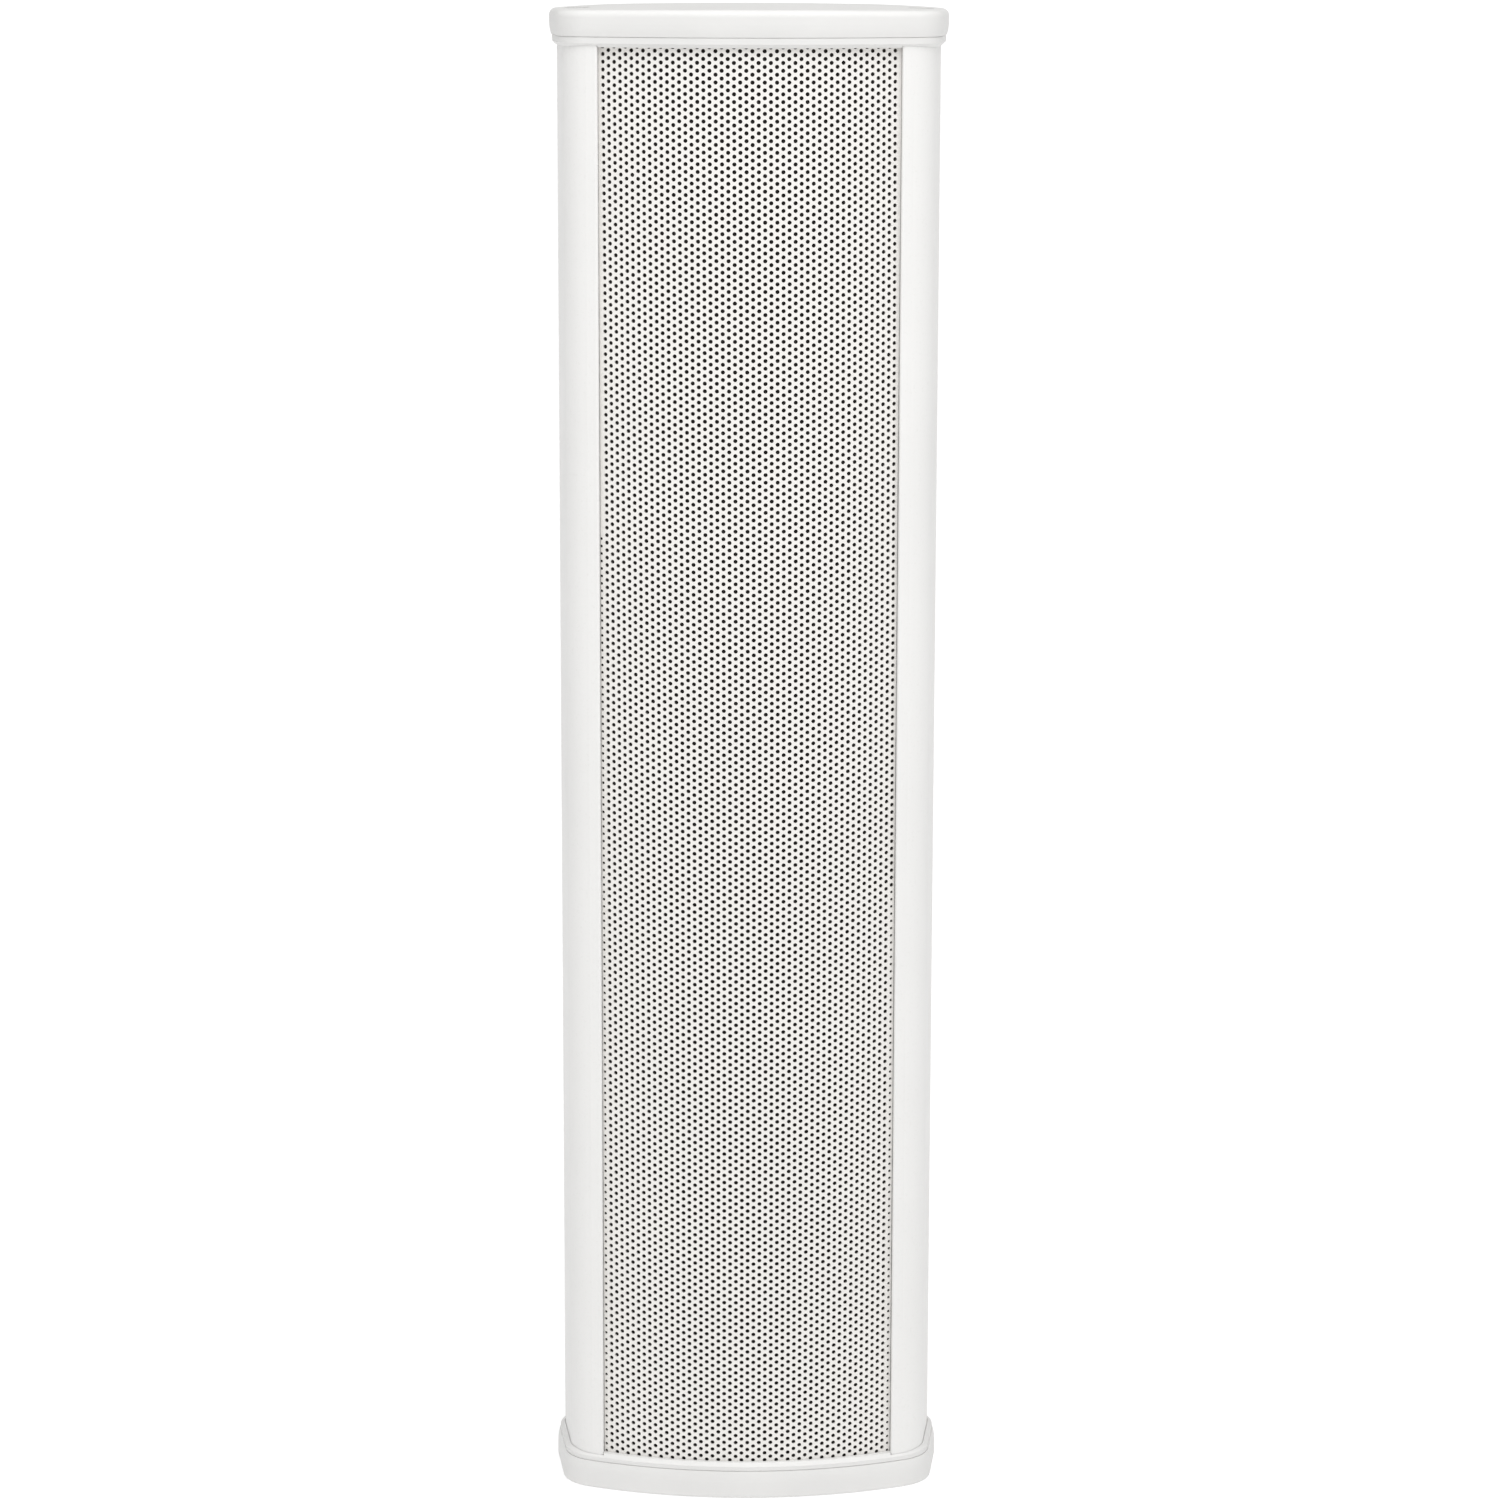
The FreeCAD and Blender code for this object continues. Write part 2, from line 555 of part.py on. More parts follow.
def driver_wiring():
    """One lead from the terminal block to each driver's tag, and one to the transformer."""
    leads = []
    front = REAR_WALL - 12.05
    for number, height in enumerate(DRIVER_HEIGHTS):
        start_z = BLOCK_HEIGHT - 9 + 6 * number
        x = 42.0 + LEAD_SPACING * number
        depth = 62.0 + LEAD_SPACING * number
        leads.append(lead([at(5, front, start_z), at(5, depth, start_z), at(x, depth, start_z),
                           at(x, depth, height), at(x, 23.5, height)], 0.9, 4.5))
    side = REAR_WALL - 4.3
    leads.append(lead([at(-8.05, side, BLOCK_HEIGHT + 6), at(-23, side, BLOCK_HEIGHT + 6),
                       at(-23, side, TRANSFORMER_HEIGHT), at(-11.8, side, TRANSFORMER_HEIGHT)], 1.2, 5.0))
    return leads


def damping_wadding():
    """Two soft pads on the rear wall, above the transformer and between the gland and the block."""
    pads = []
    for low, high in ((62.0, 122.0), (392.0, 486.0)):
        pad = block(-29, 29, 72, REAR_WALL - 0.1, low, high)
        front_edges = [edge for edge in pad.Edges if abs(edge.BoundBox.YMax - y_of(72)) < 0.01]
        pads.append(pad.makeFillet(6.0, front_edges))
    return pads


def make_electrics():
    return {
        "transformer_core": transformer_core(),
        "transformer_winding": transformer_winding(),
        "transformer_frame": transformer_frame(),
        "transformer_screws": transformer_screws(),
        "terminal_block": terminal_block(),
        "driver_wiring": driver_wiring(),
        "damping_wadding": damping_wadding(),
    }


# ---------------------------------------------------------------- cable gland
GLAND_THREAD = 8.0
GLAND_BORE = 4.4
CABLE_BORE = 3.3


def make_gland():
    """Gland through the rear wall near the base, with its lock nut inside and dome nut outside."""
    z = GLAND_HEIGHT
    body = rod(GLAND_THREAD, 0, REAR_WALL - 7, z, 7 + WALL + 4, Y)
    body = body.fuse(hexagon(22.0, 0, BACK + 0.05, z, 5.0, Y))
    body = body.fuse(rod(8.4, 0, BACK + 5, z, 8.0, Y))
    body = body.cut(rod(GLAND_BORE, 0, REAR_WALL - 9, z, 12.0, Y))
    body = body.cut(rod(6.4, 0, REAR_WALL + 2.5, z, 30.0, Y))
    nut = hexagon(22.0, 0, BACK + 5.2, z, 8.6, Y)
    nut = nut.fuse(turned([(0, BACK + 13.0), (10.6, BACK + 13.0), (10.6, BACK + 14.0), (8.4, BACK + 18.0),
                           (0, BACK + 18.0)], 0, z))
    nut = nut.cut(rod(8.5, 0, BACK + 4, z, 9.2, Y)).cut(rod(GLAND_BORE, 0, BACK + 4, z, 20, Y))
    lock_nut = hex_nut(0, REAR_WALL - 5.05, z, Y, 22.0, 5.0, GLAND_THREAD + 0.05)
    seal = ring(6.3, CABLE_BORE, 0, REAR_WALL + 2.6, z, 10.4, Y)
    return {
        "gland_body": body.removeSplitter(),
        "gland_nut": nut.removeSplitter(),
        "gland_lock_nut": lock_nut,
        "gland_seal": seal,
    }


# ---------------------------------------------------------------- wall bracket
PIN_RADIUS = 3.0
EAR_RADIUS = 11.0
EAR_IN, EAR_OUT = 12.5, 15.5
KNUCKLE_HALF = 12.2
FLANGE = 1.2                              # height of a rivet nut's flange
PLATE_FRONT = BACK + FLANGE + 0.05
PLATE_GAUGE = 3.0


def rivet_nuts():
    nuts = []
    for rise in (-BRACKET_BOLT_RISE, BRACKET_BOLT_RISE):
        z = AXIS_HEIGHT + rise
        nut = rod(4.5, 0, BACK - 12, z, 12.5, Y).fuse(rod(6.5, 0, BACK + 0.02, z, FLANGE, Y))
        nuts.append(nut.cut(rod(PIN_RADIUS + 0.05, 0, BACK - 13, z, 20, Y)).removeSplitter())
    return nuts


def bracket_clevis():
    """Plate on the cabinet's back with two upright ears that hold the tilt bolt."""
    z = AXIS_HEIGHT
    plate = block(-22, 22, PLATE_FRONT, PLATE_FRONT + PLATE_GAUGE, z - 32, z + 32)
    corners = [edge for edge in plate.Edges if edge.BoundBox.YLength > 1]
    plate = plate.makeFillet(5.0, corners)
    for side in (-1, 1):
        x_low, x_high = sorted((side * EAR_IN, side * EAR_OUT))
        ear = block(x_low, x_high, PLATE_FRONT + 1, TILT_AXIS_DEPTH, z - EAR_RADIUS, z + EAR_RADIUS)
        ear = ear.fuse(rod(EAR_RADIUS, x_low, TILT_AXIS_DEPTH, z, x_high - x_low, X))
        plate = plate.fuse(ear)
    plate = plate.cut(rod(PIN_RADIUS + 0.05, -30, TILT_AXIS_DEPTH, z, 60, X))
    for rise in (-BRACKET_BOLT_RISE, BRACKET_BOLT_RISE):
        plate = plate.cut(rod(PIN_RADIUS + 0.2, 0, BACK - 5, z + rise, 20, Y))
    return plate.removeSplitter()


def bracket_bolts():
    head = PLATE_FRONT + PLATE_GAUGE + 0.02
    return [hex_bolt(0, head, AXIS_HEIGHT + rise, Y * -1, 10.0, 4.0, PIN_RADIUS - 0.02, 14.0)
            for rise in (-BRACKET_BOLT_RISE, BRACKET_BOLT_RISE)]


def swivel_arm():
    """Cast arm with a level knuckle for tilt and an upright one for swivel."""
    z = AXIS_HEIGHT
    level = rod(10.0, -KNUCKLE_HALF, TILT_AXIS_DEPTH, z, 2 * KNUCKLE_HALF, X)
    upright = rod(10.0, 0, SWIVEL_AXIS_DEPTH, z - KNUCKLE_HALF, 2 * KNUCKLE_HALF, Z)
    neck = block(-8, 8, TILT_AXIS_DEPTH + 2, SWIVEL_AXIS_DEPTH - 2, z - 8, z + 8)
    along = [edge for edge in neck.Edges if edge.BoundBox.YLength > 10]
    arm = neck.makeFillet(3.0, along).fuse(level).fuse(upright)
    arm = arm.cut(rod(PIN_RADIUS + 0.05, -30, TILT_AXIS_DEPTH, z, 60, X))
    arm = arm.cut(rod(PIN_RADIUS + 0.05, 0, SWIVEL_AXIS_DEPTH, z - 30, 60, Z))
    return arm.removeSplitter()


WALL_HOLE_RADIUS = 2.75
WALL_HOLE_PLACES = [(x, rise) for x in (-25.0, 25.0) for rise in (-36.0, 36.0)]


def wall_plate():
    """Plate that is screwed to the wall, with two level ears that hold the swivel bolt."""
    z = AXIS_HEIGHT
    plate = block(-34, 34, WALL_PLANE_DEPTH - PLATE_GAUGE, WALL_PLANE_DEPTH, z - 45, z + 45)
    corners = [edge for edge in plate.Edges if edge.BoundBox.YLength > 1]
    plate = plate.makeFillet(8.0, corners)
    for side in (-1, 1):
        z_low, z_high = sorted((z + side * EAR_IN, z + side * EAR_OUT))
        ear = block(-EAR_RADIUS, EAR_RADIUS, SWIVEL_AXIS_DEPTH, WALL_PLANE_DEPTH - 1, z_low, z_high)
        ear = ear.fuse(rod(EAR_RADIUS, 0, SWIVEL_AXIS_DEPTH, z_low, z_high - z_low, Z))
        plate = plate.fuse(ear)
    plate = plate.cut(rod(PIN_RADIUS + 0.05, 0, SWIVEL_AXIS_DEPTH, z - 30, 60, Z))
    for x, rise in WALL_HOLE_PLACES:
        plate = plate.cut(rod(WALL_HOLE_RADIUS, x, WALL_PLANE_DEPTH - 10, z + rise, 20, Y))
    return plate.removeSplitter()


def make_bracket():
    z = AXIS_HEIGHT
    reach = EAR_OUT + 0.1
    length = 2 * reach + 6.5
    return {
        "rivet_nuts": rivet_nuts(),
        "bracket_clevis": bracket_clevis(),
        "bracket_bolts": bracket_bolts(),
        "tilt_bolt": hex_bolt(-reach, TILT_AXIS_DEPTH, z, X, 10.0, 4.0, PIN_RADIUS, length),
        "tilt_nut": hex_nut(reach, TILT_AXIS_DEPTH, z, X, 10.0, 5.0, PIN_RADIUS + 0.02),
        "swivel_arm": swivel_arm(),
        "swivel_bolt": hex_bolt(0, SWIVEL_AXIS_DEPTH, z + reach, Z * -1, 10.0, 4.0, PIN_RADIUS, length),
        "swivel_nut": hex_nut(0, SWIVEL_AXIS_DEPTH, z - reach, Z * -1, 10.0, 5.0, PIN_RADIUS + 0.02),
        "wall_plate": wall_plate(),
    }


# ---------------------------------------------------------------- output
def main():
    os.makedirs("parts", exist_ok=True)
    nodes = {}
    for make in (make_cabinet, make_drivers, make_electrics, make_gland, make_bracket):
        nodes.update(make())
    for name, shape in nodes.items():
        solid = Part.makeCompound(shape) if isinstance(shape, list) else shape
        solid.exportStep(f"parts/{name}.step")
        print(f"{name}: {len(solid.Solids)} solids, {solid.Volume / 1000:.2f} cm3, valid {solid.isValid()}")
    print(len(nodes), "nodes")


main()
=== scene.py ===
import json
import math

import bmesh
import bpy
from mathutils import Matrix, Vector, noise


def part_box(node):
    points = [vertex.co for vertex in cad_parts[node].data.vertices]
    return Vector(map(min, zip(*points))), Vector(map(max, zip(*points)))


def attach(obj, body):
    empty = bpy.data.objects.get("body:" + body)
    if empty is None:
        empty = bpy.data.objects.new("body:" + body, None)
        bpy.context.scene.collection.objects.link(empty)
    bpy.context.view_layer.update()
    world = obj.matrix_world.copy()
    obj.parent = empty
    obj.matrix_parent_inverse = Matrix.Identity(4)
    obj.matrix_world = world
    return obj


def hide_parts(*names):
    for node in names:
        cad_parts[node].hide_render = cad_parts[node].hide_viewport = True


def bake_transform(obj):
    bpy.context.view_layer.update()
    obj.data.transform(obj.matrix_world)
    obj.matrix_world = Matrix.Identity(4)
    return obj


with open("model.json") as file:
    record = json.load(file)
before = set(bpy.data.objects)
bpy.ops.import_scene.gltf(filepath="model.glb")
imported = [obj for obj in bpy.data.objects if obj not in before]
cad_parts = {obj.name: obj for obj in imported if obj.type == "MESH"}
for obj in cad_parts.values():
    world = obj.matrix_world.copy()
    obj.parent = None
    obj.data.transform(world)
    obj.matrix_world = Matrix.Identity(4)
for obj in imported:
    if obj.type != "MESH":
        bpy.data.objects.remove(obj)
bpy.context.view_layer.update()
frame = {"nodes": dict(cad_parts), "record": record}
nodes = frame["nodes"]

# ---------------------------------------------------------------- helpers


def socket(shader, name, value):
    shader.inputs[name].default_value = value


def linked(name, data):
    """A new object in the scene that shows data."""
    piece = bpy.data.objects.new(name, data)
    bpy.context.scene.collection.objects.link(piece)
    return piece


def mesh_of(name, points, faces):
    mesh = bpy.data.meshes.new(name)
    mesh.from_pydata(points, [], faces)
    return mesh


def mesh_from(name, builder):
    """The finished mesh of a bmesh, which is freed."""
    mesh = bpy.data.meshes.new(name)
    builder.to_mesh(mesh)
    builder.free()
    return mesh


class Paint:
    """A node material under construction. Its patterns are made from the object's own coordinates."""

    def __init__(self, name, metallic=0.0):
        self.material = bpy.data.materials.new(name)
        self.material.use_nodes = True
        self.tree = self.material.node_tree
        self.shader = self.tree.nodes["Principled BSDF"]
        socket(self.shader, "Metallic", metallic)
        self.place = self.add("ShaderNodeTexCoord").outputs["Object"]

    def add(self, kind, **settings):
        node = self.tree.nodes.new(kind)
        for key, value in settings.items():
            setattr(node, key, value)
        return node

    def link(self, source, target):
        self.tree.links.new(source, target)

    def stretched(self, scale):
        mapping = self.add("ShaderNodeMapping")
        mapping.inputs["Scale"].default_value = scale
        self.link(self.place, mapping.inputs["Vector"])
        return mapping.outputs["Vector"]

    def noise(self, size, detail=3.0, roughness=0.5, stretch=None):
        """Noise from 0 to 1 whose lumps are about size metres across."""
        node = self.add("ShaderNodeTexNoise")
        socket(node, "Scale", 1.0 / size)
        socket(node, "Detail", detail)
        socket(node, "Roughness", roughness)
        self.link(self.stretched(stretch) if stretch else self.place, node.inputs["Vector"])
        return node.outputs["Fac"]

    def bands(self, pitch, direction, distortion=0.0):
        """Even bands from 0 to 1 across one axis."""
        node = self.add("ShaderNodeTexWave", bands_direction=direction)
        socket(node, "Scale", 2.0 * math.pi / 20.0 / pitch)
        socket(node, "Distortion", distortion)
        socket(node, "Detail", 0.0)
        self.link(self.place, node.inputs["Vector"])
        return node.outputs["Fac"]

    def ramp(self, value, stops):
        """Colour ramp; stops is a list of (position, colour)."""
        node = self.add("ShaderNodeValToRGB")
        elements = node.color_ramp.elements
        while len(elements) < len(stops):
            elements.new(0.5)
        for element, (position, colour) in zip(elements, stops):
            element.position = position
            element.color = (*colour, 1.0)
        self.link(value, node.inputs["Fac"])
        return node.outputs["Color"]

    def blended(self, factor, one, two, mode="MIX"):
        node = self.add("ShaderNodeMix", data_type="RGBA", blend_type=mode)
        if isinstance(factor, float):
            node.inputs["Factor"].default_value = factor
        else:
            self.link(factor, node.inputs["Factor"])
        for name, colour in (("A", one), ("B", two)):
            target = next(i for i in node.inputs if i.name == name and i.type == "RGBA")
            if isinstance(colour, tuple):
                target.default_value = (*colour, 1.0)
            else:
                self.link(colour, target)
        return next(o for o in node.outputs if o.type == "RGBA")

    def number(self, value, low, high, start=0.0, end=1.0):
        """Maps a 0 to 1 pattern onto low to high."""
        node = self.add("ShaderNodeMapRange")
        socket(node, "From Min", start)
        socket(node, "From Max", end)
        socket(node, "To Min", low)
        socket(node, "To Max", high)
        self.link(value, node.inputs["Value"])
        return node.outputs["Result"]

    def maths(self, operation, one, two):
        node = self.add("ShaderNodeMath", operation=operation)
        for k, value in enumerate((one, two)):
            if isinstance(value, float):
                node.inputs[k].default_value = value
            else:
                self.link(value, node.inputs[k])
        return node.outputs["Value"]

    def edges(self, radius):
        """1 along edges that are sharper than radius, 0 on flats."""
        bevel = self.add("ShaderNodeBevel", samples=4)
        socket(bevel, "Radius", radius)
        geometry = self.add("ShaderNodeNewGeometry")
        dot = self.add("ShaderNodeVectorMath", operation="DOT_PRODUCT")
        self.link(bevel.outputs["Normal"], dot.inputs[0])
        self.link(geometry.outputs["Normal"], dot.inputs[1])
        return self.number(dot.outputs["Value"], 1.0, 0.0, 0.75, 0.995)

    def finish(self, colour, rough, bump=None, strength=0.2, depth=0.0001):
        self.link(colour, self.shader.inputs["Base Color"])
        self.link(rough, self.shader.inputs["Roughness"])
        if bump is not None:
            node = self.add("ShaderNodeBump")
            socket(node, "Strength", strength)
            socket(node, "Distance", depth)
            self.link(bump, node.inputs["Height"])
            self.link(node.outputs["Normal"], self.shader.inputs["Normal"])
        return self.material


def tinted(colour, amount):
    return tuple(min(1.0, max(0.0, c * amount)) for c in colour)


# ---------------------------------------------------------------- materials
WHITE = (0.762, 0.757, 0.745)


def powder_coat(name, colour, peel, rough, wear=0.0):
    """Satin powder coat: orange peel, faint clouding, fine specks, and scuffs along the edges."""
    paint = Paint(name)
    cloud = paint.ramp(paint.noise(0.05, 4.0),
                       [(0.3, tinted(colour, 0.985)), (0.7, tinted(colour, 1.012))])
    specks = paint.ramp(paint.noise(0.0009, 2.0),
                        [(0.25, (0.93, 0.93, 0.92)), (0.42, (1.0, 1.0, 1.0))])
    shade = paint.blended(0.5, cloud, specks, "MULTIPLY")
    if wear:
        patches = paint.number(paint.noise(0.006, 5.0), 0.0, 1.0, 0.45, 0.7)
        scuffs = paint.maths("MULTIPLY", paint.edges(0.0006), patches)
        shade = paint.blended(paint.maths("MULTIPLY", scuffs, wear), shade, tinted(colour, 0.62))
    roughness = paint.number(paint.noise(0.012, 5.0), rough - 0.06, rough + 0.07)
    fine = paint.maths("MULTIPLY", paint.noise(0.0004, 2.0), 0.25)
    skin = paint.maths("ADD", paint.noise(peel, 2.0), fine)
    return paint.finish(shade, roughness, skin, 0.22, 0.00006)


def moulded(name, colour, grain, rough, wear=0.35, clouding=0.02):
    """Moulded plastic: fine spark-eroded grain, a little clouding, edges rubbed smooth."""
    paint = Paint(name)
    cloud = paint.ramp(paint.noise(0.03, 4.0),
                       [(0.3, tinted(colour, 1.0 - clouding)), (0.7, tinted(colour, 1.0 + clouding))])
    rubbed = paint.maths("MULTIPLY", paint.edges(0.0007), paint.noise(0.004, 4.0))
    shade = paint.blended(paint.maths("MULTIPLY", rubbed, wear), cloud, tinted(colour, 0.8))
    uneven = paint.number(paint.noise(0.008, 4.0), rough - 0.05, rough + 0.06)
    roughness = paint.maths("SUBTRACT", uneven, paint.maths("MULTIPLY", rubbed, 0.15))
    return paint.finish(shade, roughness, paint.noise(grain, 3.0, 0.6), 0.3, 0.00005)


def metal(name, colour, grain, rough, stain, scratches):
    """Plated or machined steel: drawn grain, dull stains and brighter rubbed edges."""
    paint = Paint(name, metallic=1.0)
    dull = paint.ramp(paint.noise(0.004, 6.0, 0.65),
                      [(0.35, tinted(colour, 1.0 - stain)), (0.65, colour)])
    shade = paint.blended(paint.edges(0.0004), dull, tinted(colour, 1.2))
    lines = paint.noise(grain, 2.0, 0.6, scratches)
    uneven = paint.maths("ADD", lines, paint.noise(0.003, 3.0))
    roughness = paint.number(uneven, rough - 0.1, rough + 0.15, 0.5, 1.5)
    return paint.finish(shade, roughness, lines, 0.25, 0.00003)


def rubber(name, colour, grain, rough):
    """Rubber or foam: fine open grain with a grey bloom."""
    paint = Paint(name)
    bloom = paint.ramp(paint.noise(0.006, 5.0), [(0.4, colour), (0.75, tinted(colour, 1.7))])
    pores = paint.noise(grain, 3.0, 0.7)
    roughness = paint.number(paint.noise(0.004, 3.0), rough - 0.06, rough + 0.05)
    return paint.finish(bloom, roughness, pores, 0.4, 0.0001)


def woven(name, colour, pitch, directions, rough):
    """Plain weave: two sets of threads a pitch apart, with uneven dye."""
    paint = Paint(name)
    warp = paint.bands(pitch, directions[0], 0.6)
    weft = paint.bands(pitch, directions[1], 0.6)
    threads = paint.maths("MAXIMUM", warp, weft)
    uneven = paint.ramp(paint.noise(0.01, 5.0),
                        [(0.3, tinted(colour, 0.75)), (0.7, tinted(colour, 1.25))])
    shade = paint.blended(paint.number(threads, 0.7, 0.0), uneven, tinted(colour, 0.3))
    roughness = paint.number(paint.noise(0.002, 3.0), rough - 0.08, rough)
    return paint.finish(shade, roughness, threads, 0.6, 0.0002)


def fibrous(name, colour, size, rough, spread, depth):
    """Pressed pulp, loose wadding or fibreboard: tangled fibres over soft clouds."""
    paint = Paint(name)
    fibres = paint.noise(size, 6.0, 0.75, (1.0, 1.0, 0.35))
    clouds = paint.noise(size * 12.0, 4.0)
    both = paint.maths("ADD", paint.maths("MULTIPLY", fibres, 0.6),
                       paint.maths("MULTIPLY", clouds, 0.4))
    shade = paint.ramp(both, [(0.35, tinted(colour, 1.0 - spread)),
                              (0.65, tinted(colour, 1.0 + spread))])
    roughness = paint.number(clouds, rough - 0.1, rough)
    return paint.finish(shade, roughness, fibres, 0.5, depth)


def layered(name, colour, pitch, direction, rough, dark, metallic=0.0):
    """Laminations, winding turns or tape: even layers with dark gaps."""
    paint = Paint(name, metallic)
    layers = paint.bands(pitch, direction, 0.15)
    stain = paint.ramp(paint.noise(0.005, 5.0),
                       [(0.3, tinted(colour, 0.8)), (0.7, tinted(colour, 1.1))])
    shade = paint.blended(paint.number(layers, 1.0, 0.0, 0.0, 0.35), stain, tinted(colour, dark))
    roughness = paint.number(paint.noise(0.003, 4.0), rough - 0.08, rough + 0.1)
    return paint.finish(shade, roughness, layers, 0.5, 0.0001)


PAINTS = {
    "white_powder_coat": powder_coat("white_powder_coat", WHITE, 0.0016, 0.48, 0.3),
    "grille_paint": powder_coat("grille_paint", (0.775, 0.757, 0.730), 0.0012, 0.45),
    "acoustic_cloth": woven("acoustic_cloth", (0.016, 0.013, 0.012), 0.0008, ("X", "Z"), 0.95),
    "cap_plastic": moulded("cap_plastic", tinted(WHITE, 0.905), 0.00035, 0.5, 0.25),
    "gasket_rubber": rubber("gasket_rubber", (0.25, 0.245, 0.24), 0.0006, 0.8),
    "zinc_screw": metal("zinc_screw", (0.62, 0.62, 0.60), 0.0005, 0.34, 0.25, (1.0, 1.0, 6.0)),
    "baffle_board": fibrous("baffle_board", (0.025, 0.022, 0.02), 0.0008, 0.85, 0.3, 0.0001),
    "ferrite": fibrous("ferrite", (0.07, 0.07, 0.075), 0.0006, 0.7, 0.2, 0.00005),
    "motor_steel": metal("motor_steel", (0.50, 0.50, 0.47), 0.0004, 0.38, 0.35, (1.0, 8.0, 1.0)),
    "basket_paint": powder_coat("basket_paint", (0.03, 0.03, 0.032), 0.001, 0.42),
    "surround_rubber": rubber("surround_rubber", (0.022, 0.022, 0.022), 0.0004, 0.62),
    "spider_cloth": woven("spider_cloth", (0.60, 0.42, 0.18), 0.0007, ("X", "Z"), 0.8),
    "cone_paper": fibrous("cone_paper", (0.045, 0.042, 0.04), 0.0012, 0.85, 0.35, 0.0001),
    "coil_copper": layered("coil_copper", (0.70, 0.32, 0.14), 0.0003, "Y", 0.3, 0.3, 1.0),
    "core_iron": layered("core_iron", (0.20, 0.20, 0.21), 0.0005, "Y", 0.5, 0.35, 1.0),
    "winding_tape": layered("winding_tape", (0.70, 0.50, 0.09), 0.009, "X", 0.4, 0.7),
    "terminal_plastic": moulded("terminal_plastic", (0.68, 0.68, 0.62), 0.0004, 0.45),
    "lead_insulation": moulded("lead_insulation", (0.36, 0.02, 0.02), 0.0006, 0.3),
    "wadding": fibrous("wadding", (0.72, 0.72, 0.69), 0.0016, 0.98, 0.12, 0.0008),
    "gland_plastic": moulded("gland_plastic", (0.42, 0.43, 0.43), 0.0004, 0.45),
    "gland_rubber": rubber("gland_rubber", (0.02, 0.02, 0.02), 0.0005, 0.7),
    "bracket_paint": powder_coat("bracket_paint", tinted(WHITE, 0.98), 0.0018, 0.5, 0.6),
}

for part in frame["record"]["subparts"]:
    mesh = nodes[part["node"]].data
    mesh.materials.clear()
    mesh.materials.append(PAINTS[part["material_slot"]])

# ---------------------------------------------------------------- perforated grille
grille_low, grille_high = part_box("grille")
GRILLE_RADIUS = 0.1234                    # of the bend, on the sheet's front face
SHEET = 0.0006                            # thickness
GRILLE_FRONT = grille_low.y
GRILLE_CENTRE = GRILLE_FRONT + GRILLE_RADIUS
GRILLE_MIDDLE = (grille_low.z + grille_high.z) / 2
GRILLE_REACH = (grille_high.z - grille_low.z) / 2
COLUMN_STEP = 0.0019935                   # along the arc, between neighbouring columns of holes
ROW_STEP = 0.0012515                      # up the sheet, between neighbouring rows
HOLE_RADIUS = 0.00070
HOLE_SIDES = 12
FIRST_COLUMN, LAST_COLUMN = -27, 26
FULL_HOLE_REACH = 0.0483                  # nearer the edge than this the holes are smaller
EDGE_HOLE_SHARE = 0.72
LAST_HOLE_REACH = 0.0490                  # nearer the edge than this the sheet is left plain
ROWS_IN_A_BAND = 97
COLUMN_SHIFT = 0.00169                    # of the middle column from the sheet's middle
TOP_ROW_HEIGHT = grille_high.z - 0.0019
ROW_COUNT = 385
LEAN = -0.0026                            # the columns lean and bow a little against the edges
BOW = 0.0004
KEY_SCALE = 1e7                           # corners nearer than a tenth of a micron are one


def on_sheet(along, height, inward):
    """Point of the bent sheet: along its arc from the middle, up, and in from its front face."""
    angle = along / GRILLE_RADIUS
    radius = GRILLE_RADIUS - inward
    return (radius * math.sin(angle), GRILLE_CENTRE - radius * math.cos(angle), height)


def cell_offsets(radius):
    """Corners of the six-sided cell round one hole, and the rim of the hole, in order."""
    wide = (COLUMN_STEP ** 2 + ROW_STEP ** 2) / (2 * COLUMN_STEP)
    narrow = (COLUMN_STEP ** 2 - ROW_STEP ** 2) / (2 * COLUMN_STEP)
    corners = [(wide, 0.0), (narrow, ROW_STEP), (-narrow, ROW_STEP),
               (-wide, 0.0), (-narrow, -ROW_STEP), (narrow, -ROW_STEP)]
    rim = []
    for step in range(HOLE_SIDES):
        turn = 2 * math.pi * step / HOLE_SIDES
        rim.append((radius * math.cos(turn), radius * math.sin(turn)))
    return corners, rim


